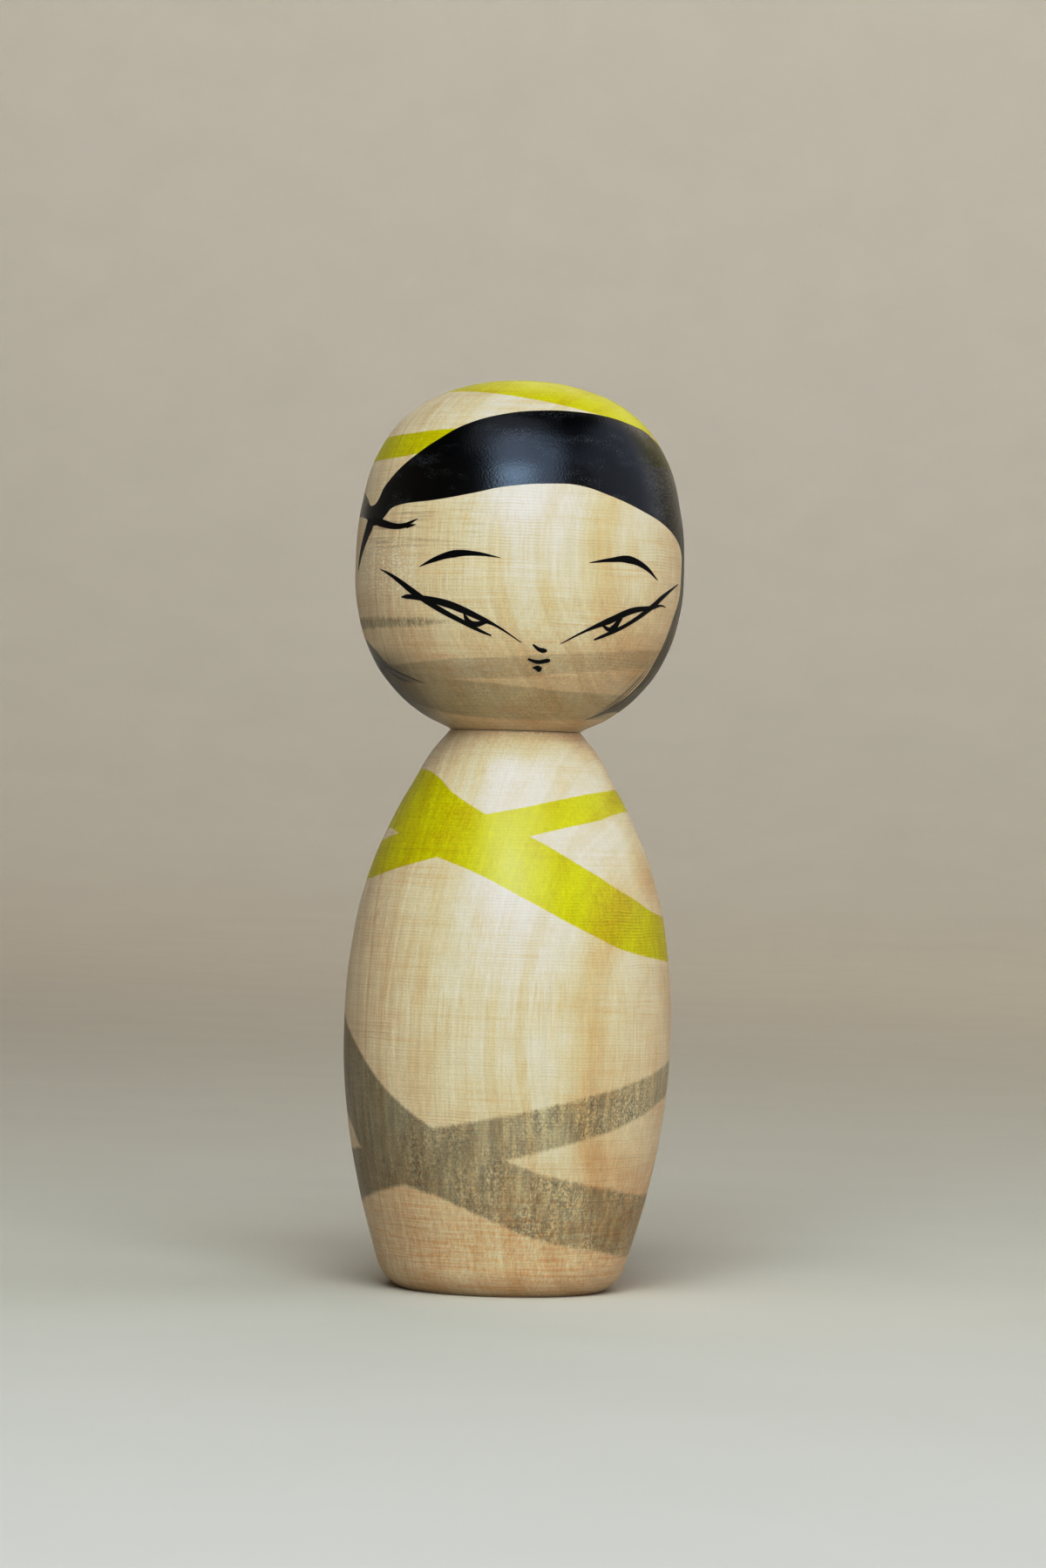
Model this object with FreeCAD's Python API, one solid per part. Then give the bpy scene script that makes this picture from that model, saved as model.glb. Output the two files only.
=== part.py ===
"""A kokeshi: a turned wooden doll of two turnings, a barrel-shaped body and a round head.

The head sits on a plain wooden peg. The peg is glued into the head and turns in a socket in
the body's top, tight enough to squeak, so the head can be turned all the way round by hand.
The doll stands on its flat base, face towards -Y. Millimetres, +Z up, and the origin is the
middle of the base.
"""

import FreeCAD
import Part
import os

# Overall sizes.
total_height = 180.0
neck_height = 110.5          # where the head meets the body
neck_gap = 0.1               # lets the head turn without rubbing the paint off
neck_radius = 13.2           # of both turnings, where they meet
body_radius = 32.4           # at the belly
belly_height = 51.0
head_radius = 32.6           # at the cheeks
cheek_height = 143.0

# The body's lower edge, and the fine cut that takes the sharpness off each edge at the neck.
base_radius = 20.2           # of the flat that the doll stands on
foot_middle = (23.1, 2.3)    # a point of the rounded edge, half way up it
foot_top = (24.8, 5.5)       # where the rounded edge runs into the side
arris = 0.3

# The peg and its two holes.
peg_radius = 7.0
peg_chamfer = 0.8
peg_in_head = 22.0
peg_in_body = 20.0
socket_clearance = 0.03      # a tight turning fit in the body
glue_gap = 0.05              # room for the glue in the head
air_under_peg = 1.0
hole_chamfer = 0.6

# The side of the body as (radius, height), from the rounded foot to the neck.
body_side = [
    foot_top,
    (28.6, 19.5),
    (31.5, 35.5),
    (body_radius, belly_height),
    (31.4, 67.0),
    (28.5, 81.0),
    (23.0, 94.5),
    (20.2, 99.6),
    (16.6, 106.0),
    (neck_radius, neck_height - arris),
]
foot_slope = (0.27, 1.0)     # how the side leaves the foot
shoulder_slope = (-0.85, 1.0)

# The head's outline as (radius, height), from the neck to the crown.
head_side = [
    (neck_radius, neck_height + neck_gap + arris),
    (18.8, 113.7),
    (24.7, 118.8),
    (29.1, 125.3),
    (32.0, 134.5),
    (head_radius, cheek_height),
    (31.6, 155.0),
    (28.3, 165.7),
    (21.9, 173.7),
    (12.0, 178.5),
    (0.0, total_height),
]
chin_slope = (2.3, 1.0)
crown_slope = (-1.0, 0.0)


def point(radius, height):
    return FreeCAD.Vector(radius, 0, height)


def straight(start, end):
    return Part.LineSegment(point(*start), point(*end)).toShape()


def smooth(outline, first_slope, last_slope):
    """One smooth curve through an outline's points, leaving and arriving at the given slopes."""
    curve = Part.BSplineCurve()
    curve.interpolate(
        Points=[point(*p) for p in outline],
        InitialTangent=point(*first_slope).normalize(),
        FinalTangent=point(*last_slope).normalize(),
        Scale=False,
    )
    return curve.toShape()


def turned(edges):
    """A solid of revolution about Z from the edges of a closed half section."""
    face = Part.Face(Part.Wire(edges))
    return face.revolve(FreeCAD.Vector(0, 0, 0), FreeCAD.Vector(0, 0, 1), 360)


def closed_outline(points):
    return [straight(a, b) for a, b in zip(points, points[1:] + points[:1])]


def hole(radius, mouth, end):
    """What a drill leaves: a plain hole from its mouth to its end, with a chamfered mouth."""
    inwards = 1 if end > mouth else -1
    return turned(
        closed_outline(
            [
                (0, mouth - inwards),
                (radius + hole_chamfer + 1, mouth - inwards),
                (radius, mouth + inwards * hole_chamfer),
                (radius, end),
                (0, end),
            ]
        )
    )


def make_body():
    """The body: a rounded foot, a full belly, and a flat top as wide as the neck."""
    foot_edge = Part.Arc(point(base_radius, 0), point(*foot_middle), point(*foot_top)).toShape()
    shell = turned(
        [
            straight((0, 0), (base_radius, 0)),
            foot_edge,
            smooth(body_side, foot_slope, shoulder_slope),
            straight(body_side[-1], (neck_radius - arris, neck_height)),
            straight((neck_radius - arris, neck_height), (0, neck_height)),
            straight((0, neck_height), (0, 0)),
        ]
    )
    socket_end = neck_height - peg_in_body - air_under_peg
    return shell.cut(hole(peg_radius + socket_clearance, neck_height, socket_end))


def make_head():
    """The head: a flat underside that sits on the body, full cheeks and a low round crown."""
    underside = neck_height + neck_gap
    ball = turned(
        [
            straight((0, underside), (neck_radius - arris, underside)),
            straight((neck_radius - arris, underside), head_side[0]),
            smooth(head_side, chin_slope, crown_slope),
            straight(head_side[-1], (0, underside)),
        ]
    )
    return ball.cut(hole(peg_radius + glue_gap, underside, neck_height + peg_in_head))


def make_neck_peg():
    """The peg: a plain rod with both ends chamfered. Its top end touches the end of its hole."""
    bottom = neck_height - peg_in_body
    top = neck_height + peg_in_head
    slim = peg_radius - peg_chamfer
    return turned(
        closed_outline(
            [
                (0, bottom),
                (slim, bottom),
                (peg_radius, bottom + peg_chamfer),
                (peg_radius, top - peg_chamfer),
                (slim, top),
                (0, top),
            ]
        )
    )


makers = {
    "body": make_body,
    "head": make_head,
    "neck_peg": make_neck_peg,
}

os.makedirs("parts", exist_ok=True)
for name, make in makers.items():
    piece = make()
    if not piece.isValid() or len(piece.Solids) != 1:
        raise RuntimeError(f"{name} is not one valid solid")
    piece.Solids[0].exportStep(f"parts/{name}.step")
    print(f"{name}: {piece.Volume / 1000:.1f} cubic centimetres")
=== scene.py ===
import math

import bpy
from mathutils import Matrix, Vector


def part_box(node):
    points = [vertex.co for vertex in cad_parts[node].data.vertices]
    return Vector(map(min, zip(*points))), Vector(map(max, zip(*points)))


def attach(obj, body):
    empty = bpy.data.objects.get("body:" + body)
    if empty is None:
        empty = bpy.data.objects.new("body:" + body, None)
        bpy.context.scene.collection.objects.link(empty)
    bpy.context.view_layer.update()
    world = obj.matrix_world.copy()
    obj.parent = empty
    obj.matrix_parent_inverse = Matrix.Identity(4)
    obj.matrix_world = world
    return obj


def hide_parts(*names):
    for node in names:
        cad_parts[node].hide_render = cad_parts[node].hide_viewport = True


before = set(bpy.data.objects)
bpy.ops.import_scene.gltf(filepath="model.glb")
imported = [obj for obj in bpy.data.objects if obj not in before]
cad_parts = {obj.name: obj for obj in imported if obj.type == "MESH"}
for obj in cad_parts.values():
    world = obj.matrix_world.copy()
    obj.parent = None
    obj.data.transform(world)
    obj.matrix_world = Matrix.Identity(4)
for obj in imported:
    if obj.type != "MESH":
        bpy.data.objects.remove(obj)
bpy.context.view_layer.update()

bl_info = {
    "name": "Kokeshi Doll",
    "version": (1, 0, 0),
    "blender": (4, 5, 0),
    "location": "View3D > Sidebar > Kokeshi",
    "description": "Turns, dyes and paints a wooden kokeshi doll, and sets it in a plain studio",
    "category": "Object",
}

MM = 0.001


def linear(code):
    """An sRGB hex colour as linear red, green, blue and alpha."""
    parts = [int(code[i:i + 2], 16) / 255 for i in (1, 3, 5)]
    light = [c / 12.92 if c <= 0.04045 else ((c + 0.055) / 1.055) ** 2.4 for c in parts]
    return (*light, 1.0)


# Each pair is light that reaches the camera, and light that is shown for it. Shadows are a little
# deeper and highlights a little softer.
CONTRAST = [(0, 0), (0.02, 0.007), (0.05, 0.021), (0.1, 0.05), (0.2, 0.13), (0.3, 0.24),
            (0.4, 0.40), (0.5, 0.57), (0.6, 0.68), (0.8, 0.82), (1, 0.92)]

# The two turnings. Each side is (share of the piece's radius, share of its height).
BODY_SIDE = [
    (0.765, 0.050),
    (0.883, 0.176),
    (0.972, 0.321),
    (1.000, 0.462),
    (0.969, 0.606),
    (0.880, 0.733),
    (0.710, 0.855),
    (0.624, 0.901),
    (0.512, 0.959),
    (0.407, 0.997),
]
HEAD_SIDE = [
    (0.405, 0.004),
    (0.577, 0.045),
    (0.758, 0.118),
    (0.893, 0.212),
    (0.982, 0.344),
    (1.000, 0.467),
    (0.969, 0.640),
    (0.868, 0.794),
    (0.672, 0.909),
    (0.368, 0.978),
    (0.000, 1.000),
]
BASE_RADIUS = 20.2 * MM
FOOT_MIDDLE = (23.1 * MM, 2.3 * MM)
NECK_ARRIS = 0.3 * MM
HOLE_CHAMFER = 0.6 * MM
SOCKET_CLEARANCE = 0.03 * MM
GLUE_GAP = 0.05 * MM
AIR_UNDER_PEG = 1.0 * MM
# The longest face along a straight run of a turning.
LONGEST_FACE = 4 * MM
# Added to a place in mm, this puts the tree's pith far behind the doll's right shoulder.
PITH = (86, -40, 0)
# How far in mm from the pith one ring is wider and warmer than the rest.
WARM_RING = 122.5

# The ribbon over the crown lies between two slanting planes. A plane is where x, y and z in mm,
# times these weights, add up to the number after them.
CROWN_FRONT = ((0.187, 0.1, 1.0), 173.45)
CROWN_BACK = ((0.25, 1.0, 0.6), 117.4)

# Dyed bands: each edge is (degrees round from the face, towards the doll's left; mm up).
# Heights on the body are above the base, and on the head above its underside.
YELLOW_FALLING = (
    [(-180, 90), (-130, 98.5), (-100, 101.8), (-79, 102.5), (-67, 102.4), (-53, 101.4), (-34, 98),
     (-13, 94), (8, 89.9), (35, 83), (52, 78.8), (80, 74.7), (110, 75), (145, 80.5), (180, 90)],
    [(-180, 77), (-130, 86.5), (-100, 90), (-79, 90.8), (-62.5, 89.8), (-33, 85.6), (-16, 83),
     (5, 78), (32, 71.1), (48, 68), (80, 65.8), (110, 65), (145, 69), (180, 77)],
)
YELLOW_RISING = (
    [(-180, 92), (-130, 88.5), (-100, 88), (-79, 88.5), (-62.5, 89.8), (-33, 92), (-13, 94),
     (5, 95.5), (24, 97.1), (49, 98.6), (81, 99.3), (120, 98.5), (150, 96), (180, 92)],
    [(-180, 85), (-130, 81), (-100, 80), (-78, 80.7), (-51, 83.3), (-33, 85.4), (8, 90),
     (21, 91.4), (41, 93), (78, 95.1), (120, 93.5), (150, 90), (180, 85)],
)
GREY_FALLING = (
    [(-180, 44), (-130, 54), (-105, 56), (-88, 54.3), (-75, 51.2), (-65, 47.9), (-48, 40.5),
     (-32, 34.7), (-26, 33), (1, 27.3), (14, 24.7), (29, 23), (46, 21.4), (80, 19.6), (110, 20.5),
     (145, 29), (180, 44)],
    [(-180, 30), (-130, 37.5), (-100, 36.5), (-88, 34.8), (-78, 32.8), (-67.5, 28), (-41, 21.6),
     (-27, 19.8), (-12, 16.9), (2, 14.1), (9, 12.6), (25, 10.7), (44, 9.4), (75, 7.5), (110, 8),
     (145, 15), (180, 30)],
)
GREY_RISING = (
    [(-180, 36), (-130, 28), (-100, 26.5), (-88, 26.9), (-67.5, 28), (-26, 33), (0, 35.9),
     (19, 38.3), (40, 41), (58, 43.3), (81, 46), (115, 48), (150, 44), (180, 36)],
    [(-180, 26), (-130, 17.5), (-100, 16), (-87, 16.6), (-72, 18), (-54, 20.1), (-42, 21.5),
     (1, 27.3), (20, 30), (41, 33), (60, 36.2), (77, 38.8), (115, 41), (150, 36), (180, 26)],
)
HAIR = (
    [(-180, 50), (-140, 49), (-110, 48), (-90, 47.2), (-84, 46.5), (-74, 44.9), (-66.5, 43.3),
     (-60, 46.8), (-52, 50.5), (-44, 53.5), (-37, 55.9), (-24, 59.4), (-8, 61.4), (8, 62.2),
     (26, 62.3), (46, 61.6), (57, 60.7), (70, 59.4), (78, 57.7), (100, 55), (140, 52), (180, 50)],
    [(-180, 3), (-150, 14), (-125, 28), (-100, 39), (-90, 41.2), (-84, 41.4), (-71, 40.8),
     (-62.5, 39.3), (-56.5, 40.8), (-52, 42.7), (-47.5, 43.3), (-32, 44.1), (-18, 45.4),
     (-6, 46.8), (13, 47.7), (20, 47.6), (33, 45.9), (49, 43.1), (60, 41.1), (74, 37.5), (79, 35),
     (84, 28), (92, 12), (110, 4), (180, 3)],
)
SIDE_HAIR = (
    [(-180, 3), (-175, 0), (43, 0), (50, 2.2), (55, 3.5), (60, 5.1), (65, 6.8), (68, 8.9),
     (70, 15.8), (73, 22.5), (76.5, 26), (78, 29.8), (79.5, 36.6), (84, 42), (110, 45), (140, 30),
     (180, 3)],
    [(-180, 3.5), (-175, 1.5), (30, 1.5), (50, 2.2), (58, 3.1), (66, 3.9), (76, 4.2), (100, 3.9),
     (180, 3.5)],
)
JAW_TAIL = (
    [(-180, 14), (-150, 18.5), (-120, 19.5), (-90, 18), (-73, 15.2), (-67, 12.7), (-57, 10.6),
     (-46, 8.8), (-30, 7), (130, 5), (180, 14)],
    [(-180, 6), (-150, 11), (-120, 12.5), (-90, 12.2), (-73, 11.4), (-67, 10), (-57, 8.9),
     (-46, 8.8), (-30, 8), (130, 7), (180, 6)],
)
HEAD_RIBBON = (
    [(-180, 59), (-130, 57.5), (-90, 57.2), (-56, 57.5), (-40, 58), (-27, 58.3), (20, 58.6),
     (70, 58.2), (90, 58.6), (130, 60), (180, 59)],
    [(-180, 53.5), (-130, 52.6), (-82, 52.4), (-54, 52.8), (-45, 53.3), (-27, 54), (30, 53),
     (70, 52.5), (130, 53.5), (180, 53.5)],
)
CHEEK_STRIPE = (
    [(-180, 20), (-150, 20.6), (-79, 21.3), (-42, 21.1), (-29, 20.8), (-20, 20.4), (180, 20)],
    [(-180, 20.4), (-150, 20), (-79, 19.3), (-43, 19.6), (-30, 20.1), (-20, 20.5), (180, 20.4)],
)
CHIN_UPPER = (
    [(-180, 9), (-120, 10.5), (-59, 12.1), (-34, 13.1), (2, 14.3), (38, 15.6), (70, 16.5),
     (90, 17), (130, 15), (180, 9)],
    [(-180, 4), (-120, 6), (-59, 8), (-35, 9.3), (-5, 10), (25, 11.4), (68, 13), (90, 13.2),
     (130, 10.5), (180, 4)],
)
CHIN_LOWER = (
    [(-180, 12), (-130, 15), (-90, 14), (-60, 12), (-35, 10), (-20, 9.2), (-5, 8.7), (11, 8.1),
     (29, 7.6), (50, 7.4), (69, 7.4), (130, 8), (180, 12)],
    [(-180, 6), (-130, 6), (-90, 5.5), (-60, 4.1), (-42, 2.8), (-18, 2.3), (5, 2.1), (29, 2.2),
     (58, 2.6), (90, 3), (130, 3.5), (180, 6)],
)

# Brush lines: each point is (mm across, towards the doll's left; mm above the head's underside;
# mm wide), and each line is seen square on from in front.
BRUSH_LINES = {
    "brows": [
        [(-19.4, 31.1, 0.08), (-16.4, 32.5, 0.9), (-12.7, 33.6, 1.4), (-8.5, 33.7, 0.8),
         (-3.7, 33.0, 0.06)],
        [(13.5, 32.6, 0.1), (17.5, 33.3, 0.75), (21.1, 33.6, 1.45), (24.3, 32.4, 0.9),
         (27.0, 30.0, 0.08)],
    ],
    "eyes": [
        [(-27.2, 30.7, 0.1), (-25.3, 29.7, 0.5), (-23.0, 28.1, 0.85), (-20.9, 26.5, 1.1),
         (-16.0, 23.3, 1.0), (-9.4, 19.9, 0.8), (-7.1, 18.8, 0.55), (-5.1, 18.0, 0.2)],
        [(-22.8, 25.2, 0.2), (-21.8, 25.3, 0.85), (-19.4, 25.1, 1.0), (-14.0, 24.0, 1.35),
         (-11.2, 23.0, 1.3), (-6.4, 20.9, 0.9), (-4.4, 20.0, 0.45), (0.8, 16.8, 0.08)],
        [(-10.5, 22.2, 0.25), (-10.1, 21.3, 0.7), (-9.5, 20.5, 1.1), (-8.3, 20.1, 1.1),
         (-6.1, 20.7, 0.75)],
        [(14.8, 17.8, 0.25), (16.3, 18.5, 0.55), (18.6, 19.6, 0.7), (21.3, 21.1, 0.65),
         (26.1, 24.8, 0.85), (28.1, 26.8, 0.7), (31.2, 29.6, 0.1)],
        [(28.8, 24.9, 0.1), (27.8, 25.1, 0.35), (26.1, 24.6, 0.7), (22.3, 23.8, 1.1),
         (17.5, 21.5, 1.15), (15.5, 20.6, 0.8), (13.2, 19.5, 0.4), (8.3, 16.8, 0.1)],
        [(20.0, 22.3, 0.6), (19.3, 21.3, 0.8), (18.6, 20.3, 1.1), (17.8, 19.9, 0.85),
         (16.3, 20.7, 0.4)],
    ],
    "nose_and_mouth": [
        [(3.0, 16.5, 0.3), (4.2, 15.6, 0.7), (5.0, 15.4, 0.9), (5.7, 15.4, 0.45)],
        [(2.1, 13.7, 0.35), (3.9, 13.2, 0.7), (5.9, 13.5, 0.75), (6.4, 13.6, 0.35)],
        [(3.0, 12.1, 0.1), (4.0, 12.0, 1.0), (4.3, 11.9, 1.15), (4.8, 12.2, 0.15)],
    ],
    "hair_ends": [
        [(-29.0, 40.5, 1.35), (-27.3, 39.8, 1.5), (-24.1, 39.0, 1.05), (-21.6, 39.3, 0.85)],
        [(-22.2, 39.3, 0.7), (-21.4, 39.7, 0.5), (-20.0, 40.4, 0.08)],
        [(-22.2, 38.9, 0.7), (-21.4, 39.1, 0.5), (-20.3, 39.3, 0.08)],
        [(-29.3, 40.7, 1.35), (-29.7, 39.0, 1.4), (-30.3, 37.3, 1.1), (-31.3, 33.8, 0.5),
         (-31.8, 30.8, 0.06)],
    ],
}


class KokeshiSizes(bpy.types.PropertyGroup):
    sides: bpy.props.IntProperty(
        name="Sides", description="Faces round each turning", default=256, min=64, max=360)
    ink_thickness: bpy.props.FloatProperty(
        name="Ink thickness", description="Thickness of a brush line", default=0.03 * MM,
        unit="LENGTH", precision=6)
    lathe_pitch: bpy.props.FloatProperty(
        name="Lathe pitch", description="Distance between the finishing marks of the lathe",
        default=0.6 * MM, unit="LENGTH", precision=6)
    ring_width: bpy.props.FloatProperty(
        name="Ring width", description="Width of the wood's growth rings", default=4.5 * MM,
        unit="LENGTH", precision=5)


class KokeshiColours(bpy.types.PropertyGroup):
    pale_wood: bpy.props.FloatVectorProperty(
        name="Pale wood", description="Early wood, between the rings", size=4, subtype="COLOR",
        default=linear("#dcc8a6"), min=0, max=1)
    warm_wood: bpy.props.FloatVectorProperty(
        name="Warm wood", description="Late wood, along the rings", size=4, subtype="COLOR",
        default=linear("#ccab7c"), min=0, max=1)
    fibre: bpy.props.FloatVectorProperty(
        name="Fibre", description="Fine streaks along the trunk", size=4, subtype="COLOR",
        default=linear("#c68d4e"), min=0, max=1)
    yellow: bpy.props.FloatVectorProperty(
        name="Yellow dye", description="Clear yellow dye, over the wood", size=4, subtype="COLOR",
        default=linear("#e9f000"), min=0, max=1)
    grey: bpy.props.FloatVectorProperty(
        name="Grey wash", description="Thinned ink, over the wood", size=4, subtype="COLOR",
        default=linear("#d2d4cb"), min=0, max=1)
    dense_grey: bpy.props.FloatVectorProperty(
        name="Dense wash", description="The wash where the brush was full", size=4,
        subtype="COLOR", default=linear("#9f9d92"), min=0, max=1)
    ink: bpy.props.FloatVectorProperty(
        name="Ink", description="Full-strength ink", size=4, subtype="COLOR",
        default=linear("#060606"), min=0, max=1)


class KokeshiStage(bpy.types.PropertyGroup):
    floor: bpy.props.FloatVectorProperty(
        name="Floor", description="Colour of the floor and the wall", size=4, subtype="COLOR",
        default=linear("#cdc1ab"), min=0, max=1)
    window_power: bpy.props.FloatProperty(
        name="Window light", description="Power of the cool soft light in front", default=43.0,
        unit="POWER")
    pane_power: bpy.props.FloatProperty(
        name="Pane", description="Power of the brightest pane of the window light", default=10.0,
        unit="POWER")
    top_power: bpy.props.FloatProperty(
        name="Top light", description="Power of the soft light high on the doll's right",
        default=5.0, unit="POWER")
    side_power: bpy.props.FloatProperty(
        name="Side light", description="Power of the large soft light on the doll's left",
        default=24.0, unit="POWER")
    back_power: bpy.props.FloatProperty(
        name="Back light", description="Power of the soft light behind the doll", default=4.0,
        unit="POWER")
    wall_power: bpy.props.FloatProperty(
        name="Wall lights", description="Power of the strongest lamp that faces the wall",
        default=24.0, unit="POWER")
    camera_distance: bpy.props.FloatProperty(
        name="Camera distance", description="From the doll's axis", default=1.097, unit="LENGTH")
    camera_side: bpy.props.FloatProperty(
        name="Camera side", description="How far the camera stands to the side", default=1.8 * MM,
        unit="LENGTH", precision=5)
    camera_height: bpy.props.FloatProperty(
        name="Camera height", description="Above the base", default=0.1001, unit="LENGTH",
        precision=5)
    camera_roll: bpy.props.FloatProperty(
        name="Camera roll", description="Leans the doll to the right", default=math.radians(1.55),
        subtype="ANGLE")
    lens: bpy.props.FloatProperty(
        name="Lens", description="Focal length, in millimetres", default=126.8, subtype="NONE")


# Making meshes.

def only(piece):
    """Makes piece the only selected object, and the active one."""
    bpy.ops.object.select_all(action="DESELECT")
    piece.select_set(True)
    bpy.context.view_layer.objects.active = piece


def apply_modifier(piece, kind, **settings):
    """Adds a modifier to piece, sets it and applies it."""
    only(piece)
    modifier = piece.modifiers.new(kind.title(), kind)
    for name, value in settings.items():
        setattr(modifier, name, value)
    bpy.ops.object.modifier_apply(modifier=modifier.name)


def draw_side(points, steps, level_end):
    """A smooth line through (radius, height) points, as points. A level end arrives flat."""
    bpy.ops.curve.primitive_bezier_curve_add()
    drawing = bpy.context.object
    spline = drawing.data.splines[0]
    spline.bezier_points.add(len(points) - len(spline.bezier_points))
    spline.resolution_u = steps
    drawing.data.resolution_u = steps
    for knot, (radius, height) in zip(spline.bezier_points, points):
        knot.co = (radius, 0, height)
        knot.handle_left_type = knot.handle_right_type = "AUTO"
    if level_end:
        last = spline.bezier_points[-1]
        last.handle_left_type = last.handle_right_type = "FREE"
        reach = points[-2][0] / 3
        last.handle_left = last.co + Vector((reach, 0, 0))
        last.handle_right = last.co - Vector((reach, 0, 0))
    drawing.matrix_world.identity()
    bpy.context.view_layer.update()
    bpy.ops.object.convert(target="MESH")
    line = [(v.co.x, v.co.z) for v in drawing.data.vertices]
    bpy.data.objects.remove(drawing)
    return line


def turn_on_lathe(name, outline, sides):
    """A solid turned from an outline of (radius, height) points that starts and ends on the axis."""
    bpy.ops.object.select_all(action="DESELECT")
    start = Vector((outline[0][0], 0, outline[0][1]))
    bpy.ops.mesh.primitive_plane_add(size=MM, location=start)
    piece = bpy.context.object
    piece.name = piece.data.name = name
    bpy.ops.object.transform_apply()
    bpy.ops.object.mode_set(mode="EDIT")
    bpy.ops.mesh.merge(type="CENTER")
    for (r0, z0), (r1, z1) in zip(outline, outline[1:]):
        bpy.ops.mesh.extrude_vertices_move(TRANSFORM_OT_translate={"value": (r1 - r0, 0, z1 - z0)})
    bpy.ops.mesh.select_all(action="SELECT")
    bpy.ops.mesh.spin(steps=sides, angle=math.tau, center=(0, 0, 0), axis=(0, 0, 1))
    bpy.ops.mesh.select_all(action="SELECT")
    bpy.ops.mesh.remove_doubles(threshold=0.001 * MM)
    bpy.ops.mesh.normals_make_consistent(inside=False)
    bpy.ops.object.mode_set(mode="OBJECT")
    bpy.ops.object.shade_smooth_by_angle(angle=math.radians(25))
    return piece


def even_line(points, spacing):
    """The corners of an outline, with more points along its long straight runs."""
    line = [points[0]]
    for (r0, z0), (r1, z1) in zip(points, points[1:]):
        steps = max(1, round(math.dist((r0, z0), (r1, z1)) / spacing))
        for i in range(1, steps + 1):
            line.append((r0 + (r1 - r0) * i / steps, z0 + (z1 - z0) * i / steps))
    return line


def foot_arc(start, middle, end, steps):
    """Points of the arc through three points, without its first and last."""
    (x1, y1), (x2, y2), (x3, y3) = start, middle, end
    d = 2 * (x1 * (y2 - y3) + x2 * (y3 - y1) + x3 * (y1 - y2))
    q1, q2, q3 = x1 * x1 + y1 * y1, x2 * x2 + y2 * y2, x3 * x3 + y3 * y3
    cx = (q1 * (y2 - y3) + q2 * (y3 - y1) + q3 * (y1 - y2)) / d
    cy = (q1 * (x3 - x2) + q2 * (x1 - x3) + q3 * (x2 - x1)) / d
    a, b = math.atan2(y1 - cy, x1 - cx), math.atan2(y3 - cy, x3 - cx)
    radius = math.dist((cx, cy), start)
    turns = [a + (b - a) * i / steps for i in range(1, steps)]
    return [(cx + radius * math.cos(t), cy + radius * math.sin(t)) for t in turns]


def draw_brush_line(points, thickness, lift, head):
    """One line of ink: a flat curve as wide as the brush, laid on the head and given thickness."""
    bpy.ops.object.select_all(action="DESELECT")
    bpy.ops.curve.primitive_bezier_curve_add()
    tip = bpy.context.object
    for knot, across in zip(tip.data.splines[0].bezier_points, (-0.5, 0.5)):
        knot.co = (across, 0, 0)
        knot.handle_left_type = knot.handle_right_type = "VECTOR"
    tip.data.dimensions = "2D"
    tip.data.resolution_u = 1
    bpy.ops.curve.primitive_bezier_curve_add()
    line = bpy.context.object
    line.data.dimensions = "2D"
    spline = line.data.splines[0]
    spline.bezier_points.add(len(points) - len(spline.bezier_points))
    for knot, (across, up, width) in zip(spline.bezier_points, points):
        knot.co = (across * MM, up * MM, 0)
        knot.handle_left_type = knot.handle_right_type = "AUTO"
        knot.radius = width * MM
    line.data.resolution_u = spline.resolution_u = 10
    line.data.bevel_mode = "OBJECT"
    line.data.bevel_object = tip
    line.rotation_euler = (math.radians(90), 0, 0)
    clear_in_front = 60 * MM
    line.location = (0, -clear_in_front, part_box("head")[0].z)
    only(line)
    bpy.ops.object.convert(target="MESH")
    bpy.ops.object.transform_apply()
    bpy.data.objects.remove(tip)
    apply_modifier(line, "SHRINKWRAP", target=head, wrap_method="PROJECT", use_project_y=True,
                   use_negative_direction=False, wrap_mode="ABOVE_SURFACE", offset=lift)
    bpy.ops.object.mode_set(mode="EDIT")
    bpy.ops.mesh.select_all(action="SELECT")
    bpy.ops.mesh.remove_doubles(threshold=0.002 * MM)
    bpy.ops.object.mode_set(mode="OBJECT")
    apply_modifier(line, "SOLIDIFY", thickness=thickness, offset=0)
    bpy.ops.object.mode_set(mode="EDIT")
    bpy.ops.mesh.select_all(action="SELECT")
    bpy.ops.mesh.normals_make_consistent(inside=False)
    bpy.ops.object.mode_set(mode="OBJECT")
    return line


def finish_piece(piece, body, material):
    """Gives a finished piece its material and its place in the frame."""
    piece.data.materials.clear()
    piece.data.materials.append(material)
    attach(piece, body)


# Making materials.

def add(tree, kind, *inputs, **settings):
    """Adds a node, makes its settings, fills its inputs in order, and returns its first output."""
    node = tree.nodes.new("ShaderNode" + kind)
    for name, value in settings.items():
        setattr(node, name, value)
    sockets = [socket for socket in node.inputs if socket.enabled]
    for socket, value in zip(sockets, inputs):
        if isinstance(value, bpy.types.NodeSocket):
            tree.links.new(value, socket)
        elif value is not None:
            socket.default_value = value
    return next((socket for socket in node.outputs if socket.enabled), None)


def new_material(name):
    """A material with nothing in it yet, and its node tree."""
    material = bpy.data.materials.new(name)
    material.use_nodes = True
    material.node_tree.nodes.clear()
    return material, material.node_tree


def finish_surface(tree, colour, roughness, relief, depth, **constants):
    """The shader and the output, with a relief that goes from 0 to 1 over depth metres."""
    shader = add(tree, "BsdfPrincipled", colour, 0.0, roughness)
    for name, value in constants.items():
        shader.node.inputs[name.replace("_", " ")].default_value = value
    if relief is not None:
        normal = add(tree, "Bump", 1.0, depth, None, relief)
        tree.links.new(normal, shader.node.inputs["Normal"])
    add(tree, "OutputMaterial", shader)


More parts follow.
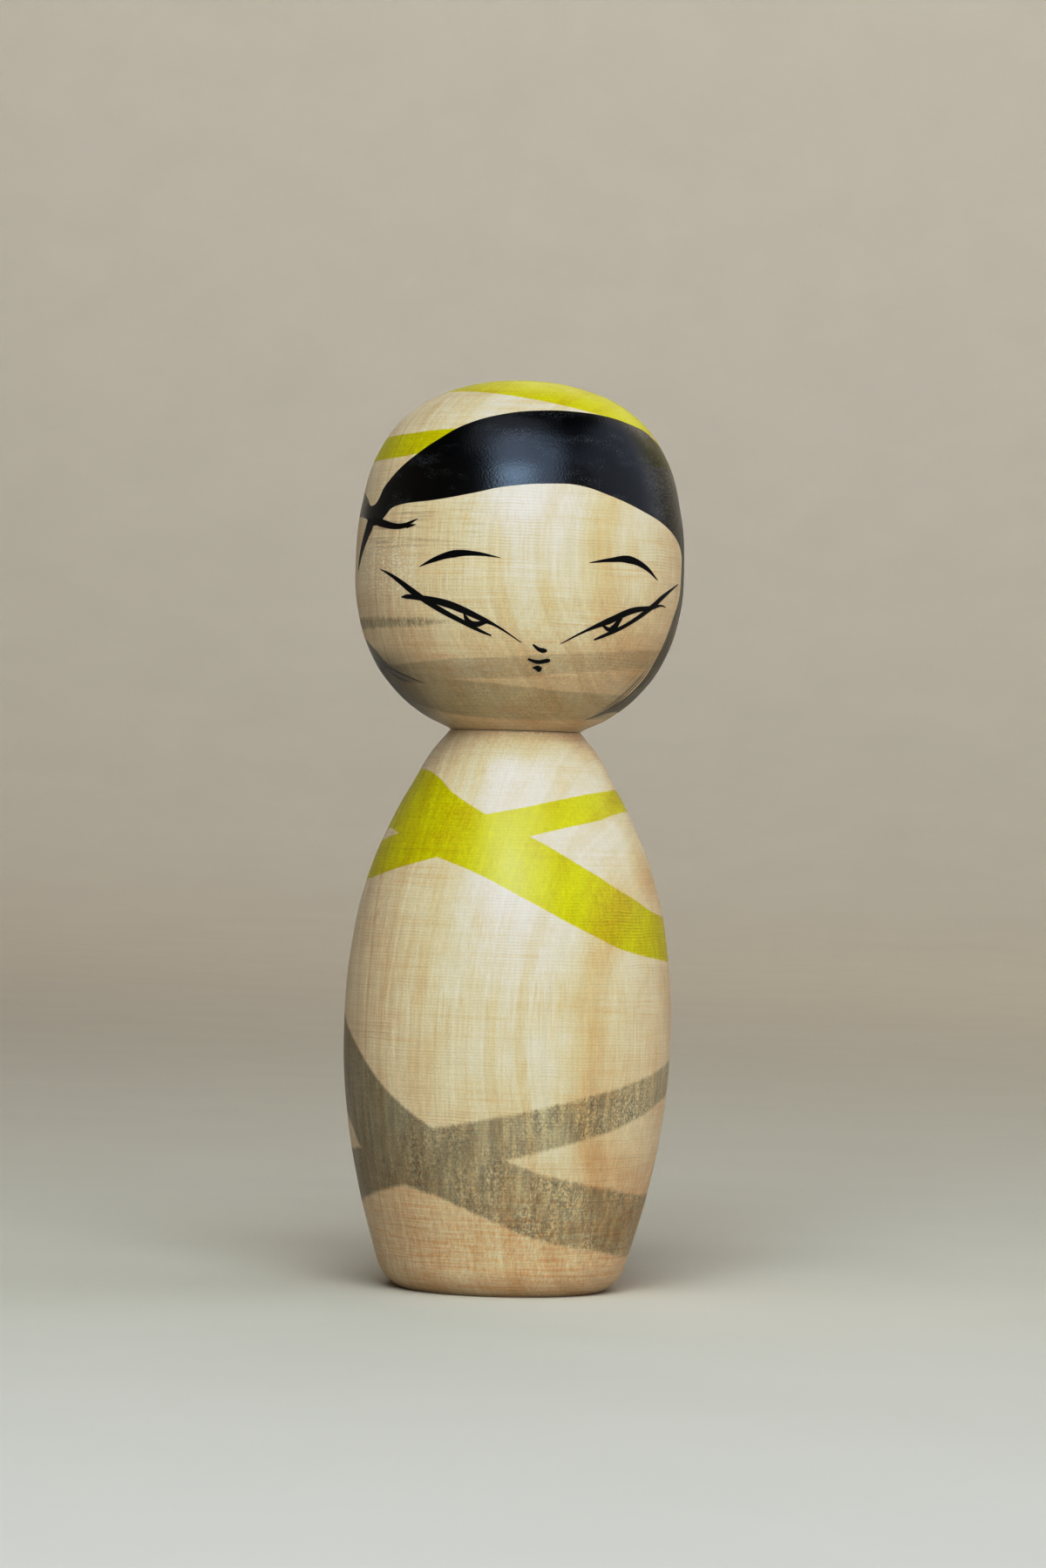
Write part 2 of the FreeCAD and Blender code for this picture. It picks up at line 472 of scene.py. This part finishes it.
def places(tree):
    """A point's place in mm, its x, y and z in mm, and its degrees round from the face."""
    place = add(tree, "TexCoord").node.outputs["Object"]
    mm = add(tree, "VectorMath", place, 1 / MM, operation="SCALE")
    xyz = add(tree, "SeparateXYZ", mm).node.outputs
    front = add(tree, "Math", xyz[1], -1.0, operation="MULTIPLY")
    turn = add(tree, "Math", xyz[0], front, operation="ARCTAN2")
    return mm, xyz, add(tree, "Math", turn, operation="DEGREES")


def grains(tree, mm, size, low, high, to_low=0.0, to_high=1.0, detail=2.0):
    """Noise with grains of size, as (x, y, z) in mm. Its low..high becomes to_low..to_high."""
    place = add(tree, "VectorMath", mm, size, operation="DIVIDE")
    noise = add(tree, "TexNoise", place, 1.0, detail, 0.55)
    return add(tree, "MapRange", noise, low, high, to_low, to_high)


def turned_dogwood(tree, mm, xyz):
    """Colour, roughness and relief of waxed, lathe-turned dogwood.

    The rings are cylinders round a pith outside the piece, so the turned surface shows them as
    pale and warm bands. Fine fibres run along the trunk, and the lathe's finishing cuts cross
    them, so a close look shows a cloth-like pattern.
    """
    sizes, colours = bpy.context.scene.kokeshi_sizes, bpy.context.scene.kokeshi_colours
    place = add(tree, "VectorMath", mm, (1, 1, 0), PITH, operation="MULTIPLY_ADD")
    out = add(tree, "VectorMath", place, operation="LENGTH").node.outputs["Value"]
    sway = grains(tree, mm, (30, 30, 70), 0, 1, -6, 6, 1.0)
    ring = add(tree, "Math", out, sway, operation="ADD")
    ring = add(tree, "Math", ring, sizes.ring_width / MM, operation="DIVIDE")
    rings = add(tree, "TexNoise", ring, 1.0, 3.0, 0.55, noise_dimensions="1D")
    clouds = grains(tree, mm, (6, 6, 11), 0.35, 0.7, 0.0, 1.0, 3.0)
    warmth = add(tree, "MapRange", rings, 0.42, 0.66, 0.0, 0.3)
    off = add(tree, "Math", out, WARM_RING, operation="SUBTRACT")
    off = add(tree, "Math", off, operation="ABSOLUTE")
    warm_ring = add(tree, "MapRange", off, 0.5, 3.0, 0.3, 0.0, interpolation_type="SMOOTHSTEP")
    warmth = add(tree, "Math", warmth, warm_ring, operation="ADD")
    warmth = add(tree, "Math", clouds, 0.35, warmth, operation="MULTIPLY_ADD")
    colour = add(tree, "Mix", warmth, tuple(colours.pale_wood), tuple(colours.warm_wood),
                 data_type="RGBA")

    # Fibres 0.3 mm wide would be too thin to show, so they are drawn at 0.45 mm.
    fibres = grains(tree, mm, (0.45, 0.45, 7), 0.45, 0.75, 0.0, 1.0, 3.0)
    patches = grains(tree, mm, (9, 9, 18), 0.35, 0.7, 0.05, 0.35)
    strength = add(tree, "Math", fibres, patches, operation="MULTIPLY")
    colour = add(tree, "Mix", strength, colour, tuple(colours.fibre), data_type="RGBA")

    # A cut that tears slightly leaves warm level streaks, in patches.
    tears = grains(tree, mm, (16, 16, 0.8), 0.48, 0.75, 0.0, 1.0, 3.0)
    torn_patches = grains(tree, mm, (14, 14, 9), 0.42, 0.68, 0.0, 0.3)
    strength = add(tree, "Math", tears, torn_patches, operation="MULTIPLY")
    colour = add(tree, "Mix", strength, colour, tuple(colours.fibre), data_type="RGBA")

    # Fine growth lines: upright on the front, and closed curves where the surface is tangent.
    line = add(tree, "Math", ring, 5.0, operation="MULTIPLY")
    lines = add(tree, "TexNoise", line, 1.0, 1.0, 0.5, noise_dimensions="1D")
    lines = add(tree, "MapRange", lines, 0.3, 0.7, 0.97, 1.03)

    # The lathe's cuts are 0.5 mm apart, and are drawn a little coarser so that they show. They
    # are a fine wave up the piece, in places deep and in places almost gone.
    wobble = grains(tree, mm, (10, 10, 5), 0, 1, -0.5, 0.5, 2.0)
    cut = add(tree, "Math", xyz[2], wobble, operation="ADD")
    cut = add(tree, "Math", cut, math.tau / (sizes.lathe_pitch / MM), operation="MULTIPLY")
    wave = add(tree, "Math", cut, operation="SINE")
    depth = grains(tree, mm, (12, 12, 3), 0.3, 0.7, 0.25, 1.0)
    cuts = add(tree, "Math", wave, depth, operation="MULTIPLY")
    # Painted sheen and shade: the colour is lighter on the cuts' ridges and darker in their grooves.
    cut_painted_sheen = add(tree, "Math", cuts, 0.028, 1.0, operation="MULTIPLY_ADD")
    passes = grains(tree, mm, (25, 25, 0.5), 0.25, 0.75, 0.96, 1.04)
    pores = grains(tree, mm, (0.3, 0.3, 0.35), 0.3, 0.7, 0.94, 1.06)
    flashes = grains(tree, mm, (0.5, 0.5, 9), 0.45, 0.75, 0.98, 1.06)
    for shade in (lines, cut_painted_sheen, passes, pores, flashes):
        colour = add(tree, "VectorMath", colour, shade, operation="SCALE")

    roughness = grains(tree, mm, (6, 6, 12), 0.3, 0.7, 0.3, 0.4)
    relief = add(tree, "Math", cuts, 0.5, 0.5, operation="MULTIPLY_ADD")
    relief = add(tree, "Math", fibres, -0.3, relief, operation="MULTIPLY_ADD")
    return colour, roughness, relief


def frayed(tree, mm, height, reach, width):
    """height, moved up and down from fibre to fibre, as dye creeps along the grain."""
    creep = grains(tree, mm, (width, width, 6), 0.2, 0.8, -reach, reach)
    return add(tree, "Math", height, creep, operation="ADD")


def painted_band(tree, degrees, height, edges, softness):
    """1 inside a painted band and 0 outside it. Its upper and lower edges are softness mm wide."""
    heights = [h for edge in edges for _, h in edge]
    low, high = min(heights) - 1, max(heights) + 1
    turn = add(tree, "MapRange", degrees, -180.0, 180.0, 0.0, 1.0)
    up = add(tree, "MapRange", height, low, high, 0.0, 1.0)
    sides = []
    for edge, side in zip(edges, (1, -1)):
        curve = add(tree, "FloatCurve", 1.0, turn)
        mapping = curve.node.mapping
        points = mapping.curves[0].points
        while len(points) < len(edge):
            points.new(0.5, 0.5)
        for point, (angle, at) in zip(points, edge):
            point.location = ((angle + 180) / 360, (at - low) / (high - low))
            point.handle_type = "AUTO"
        mapping.update()
        gap = add(tree, "Math", curve, up, operation="SUBTRACT")
        soft = side * softness / (high - low) / 2
        sides.append(add(tree, "MapRange", gap, -soft, soft, 0.0, 1.0))
    return add(tree, "Math", *sides, operation="MULTIPLY")


def either(tree, *masks):
    """The larger of several masks."""
    result = masks[0]
    for mask in masks[1:]:
        result = add(tree, "Math", result, mask, operation="MAXIMUM")
    return result


def dye(tree, colour, mask, tint, mm):
    """Clear dye over the wood. It colours the wood through, and more so along some fibres."""
    mottled = grains(tree, mm, (0.45, 0.45, 0.6), 0.3, 0.7, 0.92, 1.06)
    streaky = grains(tree, mm, (0.8, 0.8, 9), 0.3, 0.7, 0.95, 1.04)
    dyed = add(tree, "VectorMath", colour, tint[:3], operation="MULTIPLY")
    for shade in (mottled, streaky):
        dyed = add(tree, "VectorMath", dyed, shade, operation="SCALE")
    return add(tree, "Mix", mask, colour, dyed, data_type="RGBA")


def wash(tree, colour, mask, tint, mm, contrast):
    """Thinned ink over the wood. It gathers in the pores, so it is speckled and streaked."""
    specks = grains(tree, mm, (0.4, 0.4, 0.55), 0.3, 0.7, -contrast, contrast, 3.0)
    streaks = grains(tree, mm, (1.4, 1.4, 18), 0.35, 0.65, -0.4 * contrast, 0.4 * contrast)
    patches = grains(tree, mm, (7, 7, 12), 0.35, 0.65, 0.3, 1.3)
    uneven = add(tree, "Math", specks, patches, operation="MULTIPLY")
    uneven = add(tree, "Math", uneven, streaks, operation="ADD")
    uneven = add(tree, "Math", uneven, 1.0, operation="ADD")
    tint = add(tree, "VectorMath", tint, uneven, operation="SCALE")
    mask = add(tree, "Math", mask, 0.88, operation="MULTIPLY")
    return add(tree, "Mix", mask, colour, tint, data_type="RGBA", blend_type="MULTIPLY")


def pale_flecks(tree, colour, mm, where, size):
    """Tiny torn fibres that the wax has filled: near-white flecks, where the mask allows them."""
    torn = grains(tree, mm, size, 0.52, 0.68, 0.0, 0.5, 3.0)
    torn = add(tree, "Math", torn, where, operation="MULTIPLY")
    return add(tree, "Mix", torn, colour, linear("#efe9d8"), data_type="RGBA")


def between(tree, value, low, high, soft):
    """1 where value is from low to high, fading to 0 over soft on either side."""
    rise = add(tree, "MapRange", value, low - soft, low, 0.0, 1.0)
    fall = add(tree, "MapRange", value, high, high + soft, 1.0, 0.0)
    return add(tree, "Math", rise, fall, operation="MULTIPLY")


def body_material():
    """Waxed dogwood with two crossing ribbons of clear yellow dye and two of grey wash.

    Dye soaks in, so the grain and the lathe marks show through it and the sheen stays the wood's.
    """
    material, tree = new_material("waxed_dogwood_body")
    colours = bpy.context.scene.kokeshi_colours
    mm, xyz, degrees = places(tree)
    colour, roughness, relief = turned_dogwood(tree, mm, xyz)
    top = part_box("body")[1].z / MM
    rims = either(tree, between(tree, xyz[2], top - 0.45, top, 0.3),
                  between(tree, xyz[2], 0.1, 0.8, 0.3))
    colour = pale_flecks(tree, colour, mm, rims, (0.6, 0.6, 0.5))
    crisp = frayed(tree, mm, xyz[2], 0.08, 0.4)
    fuzzy = frayed(tree, mm, xyz[2], 0.35, 0.3)
    yellow = either(tree, *(painted_band(tree, degrees, crisp, edges, 0.25)
                            for edges in (YELLOW_FALLING, YELLOW_RISING)))
    grey = either(tree, *(painted_band(tree, degrees, fuzzy, edges, 0.8)
                          for edges in (GREY_FALLING, GREY_RISING)))
    colour = dye(tree, colour, yellow, tuple(colours.yellow), mm)
    # The brush was fullest on the doll's right, and ran thin on its left.
    thin = add(tree, "MapRange", degrees, -70.0, 5.0, 0.0, 1.0)
    tint = add(tree, "Mix", thin, tuple(colours.dense_grey), tuple(colours.grey), data_type="RGBA")
    colour = wash(tree, colour, grey, tint, mm, 0.42)
    # Near the foot the fibres stand out more, warm and close together.
    low = between(tree, xyz[2], 0.0, 14.0, 20.0)
    upright = grains(tree, mm, (0.5, 0.5, 5), 0.45, 0.7, 0.0, 0.4, 3.0)
    level = grains(tree, mm, (9, 9, 0.5), 0.45, 0.7, 0.0, 0.4, 3.0)
    warm = add(tree, "Math", upright, level, operation="ADD")
    warm = add(tree, "Math", warm, low, operation="MULTIPLY")
    colour = add(tree, "Mix", warm, colour, linear("#eec992"), data_type="RGBA",
                 blend_type="MULTIPLY")
    finish_surface(tree, colour, roughness, relief, 0.015 * MM)
    return material


def head_material():
    """Waxed dogwood with a painted head of hair, a yellow ribbon round the crown and grey washes.

    The hair is full-strength ink: black and half glossy, thin and dry where the brush ran out.
    """
    material, tree = new_material("waxed_dogwood_head")
    colours = bpy.context.scene.kokeshi_colours
    mm, xyz, degrees = places(tree)
    colour, roughness, relief = turned_dogwood(tree, mm, xyz)
    up = add(tree, "Math", xyz[2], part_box("head")[0].z / MM, operation="SUBTRACT")
    crisp = frayed(tree, mm, up, 0.08, 0.4)
    fuzzy = frayed(tree, mm, up, 0.2, 0.35)

    # The ribbon goes up over the crown between two slanting cuts.
    weights, edge = CROWN_FRONT
    front = add(tree, "VectorMath", mm, weights, operation="DOT_PRODUCT")
    front = add(tree, "MapRange", front.node.outputs["Value"], edge, edge + 0.25, 0.0, 1.0)
    weights, edge = CROWN_BACK
    back = add(tree, "VectorMath", mm, weights, operation="DOT_PRODUCT")
    back = add(tree, "MapRange", back.node.outputs["Value"], edge, edge + 0.3, 1.0, 0.0)
    crown = add(tree, "Math", front, back, operation="MULTIPLY")
    yellow = either(tree, crown, painted_band(tree, degrees, crisp, HEAD_RIBBON, 0.25))
    colour = dye(tree, colour, yellow, tuple(colours.yellow), mm)

    upper = painted_band(tree, degrees, fuzzy, CHIN_UPPER, 0.5)
    lower = painted_band(tree, degrees, fuzzy, CHIN_LOWER, 0.5)
    stripe = painted_band(tree, degrees, frayed(tree, mm, up, 0.45, 0.4), CHEEK_STRIPE, 0.8)
    upper = add(tree, "Math", upper, 0.5, operation="MULTIPLY")
    lower = add(tree, "Math", lower, 0.6, operation="MULTIPLY")
    dragged = grains(tree, mm, (0.5, 0.5, 1.5), 0.35, 0.6, 0.35, 0.85)
    stripe = add(tree, "Math", stripe, dragged, operation="MULTIPLY")
    grey = either(tree, upper, lower, stripe)
    thin = add(tree, "MapRange", degrees, -70.0, 0.0, 0.0, 1.0)
    tint = add(tree, "Mix", thin, tuple(colours.dense_grey), tuple(colours.grey), data_type="RGBA")
    colour = wash(tree, colour, grey, tint, mm, 0.25)
    # Deep brown wash on the doll's right jaw: partly dry-brush streaks, partly painted shade.
    jaw_brush_and_shade = add(tree, "MapRange", degrees, -82.0, -34.0, 1.0, 0.0, interpolation_type="SMOOTHSTEP")
    jaw_brush_and_shade = add(tree, "Math", jaw_brush_and_shade, between(tree, up, 3.5, 12.0, 4.0), operation="MULTIPLY")
    colour = wash(tree, colour, jaw_brush_and_shade, linear("#453423")[:3], mm, 0.35)

    # Under the hair on the doll's right, a drying brush left faint level trails and torn fibres.
    trails = grains(tree, mm, (14, 14, 0.6), 0.5, 0.72, 0.0, 0.35)
    beside = between(tree, degrees, -58.0, -22.0, 18.0)
    trails = add(tree, "Math", trails, beside, operation="MULTIPLY")
    trails = add(tree, "Math", trails, between(tree, up, 35.0, 42.0, 3.0), operation="MULTIPLY")
    colour = add(tree, "Mix", trails, colour, linear("#6b5535"), data_type="RGBA")
    cheek = add(tree, "Math", between(tree, degrees, -75.0, -45.0, 14.0),
                between(tree, up, 27.0, 35.0, 3.0), operation="MULTIPLY")
    colour = pale_flecks(tree, colour, mm, cheek, (0.8, 0.8, 0.3))

    crown_hair = painted_band(tree, degrees, up, HAIR, 0.15)
    side_hair = painted_band(tree, degrees, up, SIDE_HAIR, 0.25)
    jaw_tail = painted_band(tree, degrees, up, JAW_TAIL, 0.4)
    # The brush is full across the front and the back, and runs dry behind both temples.
    right = between(tree, degrees, 78.0, 96.0, 30.0)
    above = add(tree, "MapRange", up, 36.0, 50.0, 0.45, 1.0)
    thin_right = add(tree, "Math", right, above, operation="MULTIPLY")
    thin_left = between(tree, degrees, -88.0, -74.0, 4.0)
    thin = either(tree, thin_right, thin_left)
    dry = grains(tree, mm, (0.8, 0.8, 0.35), 0.35, 0.65, 0.95, 0.66, 3.0)
    cover = add(tree, "Mix", thin, 1.0, dry, data_type="FLOAT")
    crown_hair = add(tree, "Math", crown_hair, cover, operation="MULTIPLY")
    strands = grains(tree, mm, (7, 0.4, 7), 0.4, 0.6, 0.88, 0.62, 3.0)
    side_hair = add(tree, "Math", side_hair, strands, operation="MULTIPLY")
    # The strand's tip is brown, where the brush left the wood.
    leaving = add(tree, "MapRange", up, 2.0, 9.0, 0.78, 1.0)
    side_hair = add(tree, "Math", side_hair, leaving, operation="MULTIPLY")
    # A few hairs part from the strand beside the doll's left jaw, in level planes of depth.
    depth = add(tree, "Math", xyz[1], 0.5, operation="DIVIDE")
    hairs = add(tree, "TexNoise", depth, 1.0, 1.0, 0.5, noise_dimensions="1D")
    hairs = add(tree, "MapRange", hairs, 0.54, 0.6, 0.0, 0.9)
    for mask in (between(tree, xyz[1], -13.8, -8.0, 0.6), between(tree, up, 5.0, 11.0, 3.0),
                 between(tree, degrees, 58.0, 80.0, 6.0)):
        hairs = add(tree, "Math", hairs, mask, operation="MULTIPLY")
    side_hair = either(tree, side_hair, hairs)
    # On the doll's right the hair ends under the jaw, in thin lines that part from each other.
    slant = add(tree, "Math", degrees, 0.145, up, operation="MULTIPLY_ADD")
    slant = add(tree, "Math", slant, 0.45, operation="DIVIDE")
    tail_strands = add(tree, "TexNoise", slant, 1.0, 1.0, 0.5, noise_dimensions="1D")
    parting = add(tree, "MapRange", degrees, -80.0, -50.0, 0.62, 0.1)
    tail_strands = add(tree, "MapRange", tail_strands, 0.45, 0.6, parting, 0.95)
    jaw_tail = add(tree, "Math", jaw_tail, tail_strands, operation="MULTIPLY")
    hair = either(tree, crown_hair, side_hair, jaw_tail)

    # Grey specks in patches: partly dry ink over the pores, partly painted glints off its grain.
    specks = grains(tree, mm, (0.28, 0.28, 0.26), 0.5, 0.72, 0.0, 1.0, 4.0)
    patches = grains(tree, mm, (8, 8, 3), 0.5, 0.64, 0.0, 0.75, 3.0)
    specks_and_glints = add(tree, "Math", specks, patches, operation="MULTIPLY")
    ink = add(tree, "Mix", specks_and_glints, tuple(colours.ink), linear("#6a6a66"), data_type="RGBA")
    colour = add(tree, "Mix", hair, colour, ink, data_type="RGBA")
    roughness = add(tree, "Mix", hair, roughness, 0.23, data_type="FLOAT")
    roughness = add(tree, "Mix", side_hair, roughness, 0.4, data_type="FLOAT")
    leathery = grains(tree, mm, (0.4, 0.4, 0.4), 0.2, 0.8, 0.0, 1.6)
    relief = add(tree, "Mix", hair, relief, leathery, data_type="FLOAT")
    finish_surface(tree, colour, roughness, relief, 0.015 * MM)
    return material


def ink_material():
    """Brushed ink: carbon black with a half gloss, a little uneven where the brush dragged."""
    material, tree = new_material("brushed_ink")
    mm = places(tree)[0]
    drag = grains(tree, mm, (0.4, 0.4, 0.4), 0.3, 0.7)
    colour = add(tree, "Mix", drag, tuple(bpy.context.scene.kokeshi_colours.ink),
                 linear("#0b0a09"), data_type="RGBA")
    roughness = add(tree, "MapRange", drag, 0.0, 1.0, 0.28, 0.36)
    finish_surface(tree, colour, roughness, drag, 0.005 * MM, Specular_IOR_Level=0.3)
    return material


def peg_material():
    """A peg of the same dogwood, scraped and not waxed: dull, with its fibres along it."""
    material, tree = new_material("scraped_dogwood_peg")
    mm, xyz = places(tree)[:2]
    colour, roughness, relief = turned_dogwood(tree, mm, xyz)
    dull = add(tree, "Math", roughness, 0.25, operation="ADD")
    finish_surface(tree, colour, dull, relief, 0.03 * MM)
    return material


def stage_material():
    """Matt paper: pale, with a faint mottle."""
    material, tree = new_material("matt_paper")
    mm = places(tree)[0]
    shade = grains(tree, mm, (60, 60, 60), 0.3, 0.7, 0.99, 1.01)
    floor = tuple(bpy.context.scene.kokeshi_stage.floor)
    colour = add(tree, "VectorMath", floor[:3], shade, operation="SCALE")
    finish_surface(tree, colour, 0.8, None, 0, Specular_IOR_Level=0.2)
    return material


# Lighting the stage.

def direction(azimuth, elevation):
    """Away from the doll, by degrees round from its front, towards its left, and degrees up."""
    a, e = math.radians(azimuth), math.radians(elevation)
    return Vector((math.sin(a) * math.cos(e), -math.cos(a) * math.cos(e), math.sin(e)))


def hang_lamp(name, place, back, width, tall, power, colour):
    """A soft rectangular lamp at place. Its back is turned towards back."""
    bpy.ops.object.light_add(type="AREA", location=place)
    lamp = bpy.context.object
    lamp.name = name
    lamp.rotation_euler = back.to_track_quat("Z", "Y").to_euler()
    lamp.data.shape = "RECTANGLE"
    lamp.data.size, lamp.data.size_y = width, tall
    lamp.data.energy = power
    lamp.data.color = linear(colour)[:3]


# Operators.

class KOKESHI_OT_body(bpy.types.Operator):
    """Turns the doll's body, with its socket, and dyes its ribbons"""
    bl_idname = "kokeshi.body"
    bl_label = "Body"

    def execute(self, context):
        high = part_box("body")[1]
        peg_low, peg_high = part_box("neck_peg")
        radius, height = high.x, high.z
        side = [(r * radius, h * height) for r, h in BODY_SIDE]
        side[-1] = (side[-1][0], height - NECK_ARRIS)
        socket = peg_high.x + SOCKET_CLEARANCE
        foot = [(BASE_RADIUS, 0)] + foot_arc((BASE_RADIUS, 0), FOOT_MIDDLE, side[0], 10)
        hole = [
            (side[-1][0] - NECK_ARRIS, height),
            (socket + HOLE_CHAMFER, height),
            (socket, height - HOLE_CHAMFER),
            (socket, peg_low.z - AIR_UNDER_PEG),
            (0, peg_low.z - AIR_UNDER_PEG),
        ]
        outline = even_line([(0, 0), (BASE_RADIUS, 0)], LONGEST_FACE)[:-1] + foot
        outline += draw_side(side, 16, False) + even_line(hole, LONGEST_FACE)
        body = turn_on_lathe("turned_body", outline, context.scene.kokeshi_sizes.sides)
        finish_piece(body, "body", body_material())
        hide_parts("body")
        return {"FINISHED"}


class KOKESHI_OT_head(bpy.types.Operator):
    """Turns the doll's head, bored for its peg, and paints its hair, ribbon and washes"""
    bl_idname = "kokeshi.head"
    bl_label = "Head"

    def execute(self, context):
        low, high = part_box("head")
        peg_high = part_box("neck_peg")[1]
        radius, height = high.x, high.z - low.z
        side = [(r * radius, low.z + h * height) for r, h in HEAD_SIDE]
        side[0] = (side[0][0], low.z + NECK_ARRIS)
        bore = peg_high.x + GLUE_GAP
        hole = [
            (0, peg_high.z),
            (bore, peg_high.z),
            (bore, low.z + HOLE_CHAMFER),
            (bore + HOLE_CHAMFER, low.z),
            (side[0][0] - NECK_ARRIS, low.z),
        ]
        outline = even_line(hole, LONGEST_FACE) + draw_side(side, 14, True)
        head = turn_on_lathe("turned_head", outline, context.scene.kokeshi_sizes.sides)
        finish_piece(head, "head", head_material())
        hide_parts("head")
        return {"FINISHED"}


class KOKESHI_OT_peg(bpy.types.Operator):
    """Gives the hidden neck peg its wood"""
    bl_idname = "kokeshi.peg"
    bl_label = "Neck peg"

    def execute(self, context):
        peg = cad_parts["neck_peg"]
        peg.data.materials.clear()
        peg.data.materials.append(peg_material())
        return {"FINISHED"}


class KOKESHI_OT_face(bpy.types.Operator):
    """Paints the brush lines: brows, eyes, nose, mouth and the loose ends of the hair"""
    bl_idname = "kokeshi.face"
    bl_label = "Brush lines"

    def execute(self, context):
        head = bpy.data.objects["turned_head"]
        thickness = context.scene.kokeshi_sizes.ink_thickness
        ink = ink_material()
        for name, lines in BRUSH_LINES.items():
            # Each line lies a hair higher than the last, so that crossing lines never share a face.
            made = [draw_brush_line(points, thickness, (1 + 0.1 * i) * thickness, head)
                    for i, points in enumerate(lines)]
            bpy.ops.object.select_all(action="DESELECT")
            for line in made:
                line.select_set(True)
            context.view_layer.objects.active = made[0]
            bpy.ops.object.join()
            made[0].name = made[0].data.name = name
            bpy.ops.object.shade_smooth_by_angle(angle=math.radians(40))
            finish_piece(made[0], "head", ink)
        return {"FINISHED"}


class KOKESHI_OT_stage(bpy.types.Operator):
    """Sets up a pale studio: a round cove, soft lights, lamps on the wall and the camera"""
    bl_idname = "kokeshi.stage"
    bl_label = "Stage"

    def execute(self, context):
        scene, stage = context.scene, context.scene.kokeshi_stage
        flat, curve, top = 2.4, 1.4, 3.4
        steps = 12
        bend = [(flat + curve * math.sin(a), curve - curve * math.cos(a))
                for a in (math.radians(90 * i / steps) for i in range(steps + 1))]
        outline = [(0, 0), (0.3, 0), (1.0, 0)] + bend + [(flat + curve, top)]
        cove = turn_on_lathe("cove", outline, 96)
        bpy.ops.object.mode_set(mode="EDIT")
        bpy.ops.mesh.flip_normals()
        bpy.ops.object.mode_set(mode="OBJECT")
        cove.data.materials.append(stage_material())

        middle = Vector((0, 0, 0.09))
        # Name, degrees round to the doll's left and up from its middle, then distance, width and
        # height in metres, power and colour.
        lights = [
            ("window", 4, 40, 2.0, 1.8, 2.0, stage.window_power, "#cde1ff"),
            ("pane", -5, 33, 1.95, 0.8, 0.6, stage.pane_power, "#c2e0f4"),
            ("top", -30, 72, 1.8, 1.2, 1.2, stage.top_power, "#e6eeff"),
            ("side", 92, 34, 2.6, 3.2, 2.2, stage.side_power, "#d8e5ff"),
            ("back", 160, 40, 2.2, 1.6, 1.2, stage.back_power, "#fff4e6"),
        ]
        for name, azimuth, elevation, distance, width, tall, power, colour in lights:
            away = direction(azimuth, elevation)
            hang_lamp(name, middle + away * distance, away, width, tall, power, colour)
        # These hang in front of the wall and face down it, so that it looks pale.
        above = Vector((0, 0, 2.2))
        for azimuth, share in ((180, 1.0), (135, 0.5), (225, 0.2), (45, 0.4)):
            outward = direction(azimuth, 0)
            hang_lamp(f"wall_{azimuth}", above + outward * 2.3, Vector((0, 0, 1)) - outward,
                      2.0, 0.6, stage.wall_power * share, "#dfe9ff")

        scene.world = bpy.data.worlds.new("studio")
        scene.world.use_nodes = True
        background = scene.world.node_tree.nodes["Background"]
        background.inputs["Color"].default_value = linear("#f4e2c4")
        background.inputs["Strength"].default_value = 0.02
        view = scene.view_settings
        view.view_transform = "Standard"
        view.use_curve_mapping = True
        curve = view.curve_mapping.curves[3]
        for shown in CONTRAST[1:-1]:
            curve.points.new(*shown)
        curve.points[-1].location = CONTRAST[-1]
        view.curve_mapping.update()

        bpy.ops.object.camera_add(
            location=(stage.camera_side, -stage.camera_distance, stage.camera_height),
            rotation=(math.radians(90), -stage.camera_roll, 0))
        camera = context.object
        camera.data.lens = stage.lens
        full_frame = 36
        camera.data.sensor_width = full_frame
        camera.data.clip_start, camera.data.clip_end = 0.05, 20
        scene.camera = camera
        return {"FINISHED"}


class KOKESHI_PT_panel(bpy.types.Panel):
    """Lists the pieces of the doll, in the order that they are made"""
    bl_idname = "KOKESHI_PT_panel"
    bl_label = "Kokeshi Doll"
    bl_space_type = "VIEW_3D"
    bl_region_type = "UI"
    bl_category = "Kokeshi"

    def draw(self, context):
        for operator in OPERATORS:
            self.layout.operator(operator.bl_idname)
        for group in (context.scene.kokeshi_sizes, context.scene.kokeshi_colours,
                      context.scene.kokeshi_stage):
            box = self.layout.box()
            for name in group.bl_rna.properties.keys():
                if name not in ("rna_type", "name"):
                    box.prop(group, name)


OPERATORS = (KOKESHI_OT_body, KOKESHI_OT_head, KOKESHI_OT_peg, KOKESHI_OT_face, KOKESHI_OT_stage)
GROUPS = {
    "kokeshi_sizes": KokeshiSizes,
    "kokeshi_colours": KokeshiColours,
    "kokeshi_stage": KokeshiStage,
}


def register():
    for group in GROUPS.values():
        bpy.utils.register_class(group)
    for name, group in GROUPS.items():
        setattr(bpy.types.Scene, name, bpy.props.PointerProperty(type=group))
    for operator in OPERATORS:
        bpy.utils.register_class(operator)
    bpy.utils.register_class(KOKESHI_PT_panel)


def unregister():
    bpy.utils.unregister_class(KOKESHI_PT_panel)
    for operator in reversed(OPERATORS):
        bpy.utils.unregister_class(operator)
    for name, group in GROUPS.items():
        delattr(bpy.types.Scene, name)
        bpy.utils.unregister_class(group)


def main():
    register()
    bpy.ops.kokeshi.body()
    bpy.ops.kokeshi.head()
    bpy.ops.kokeshi.peg()
    bpy.ops.kokeshi.face()
    bpy.ops.kokeshi.stage()


if __name__ == "__main__":
    main()
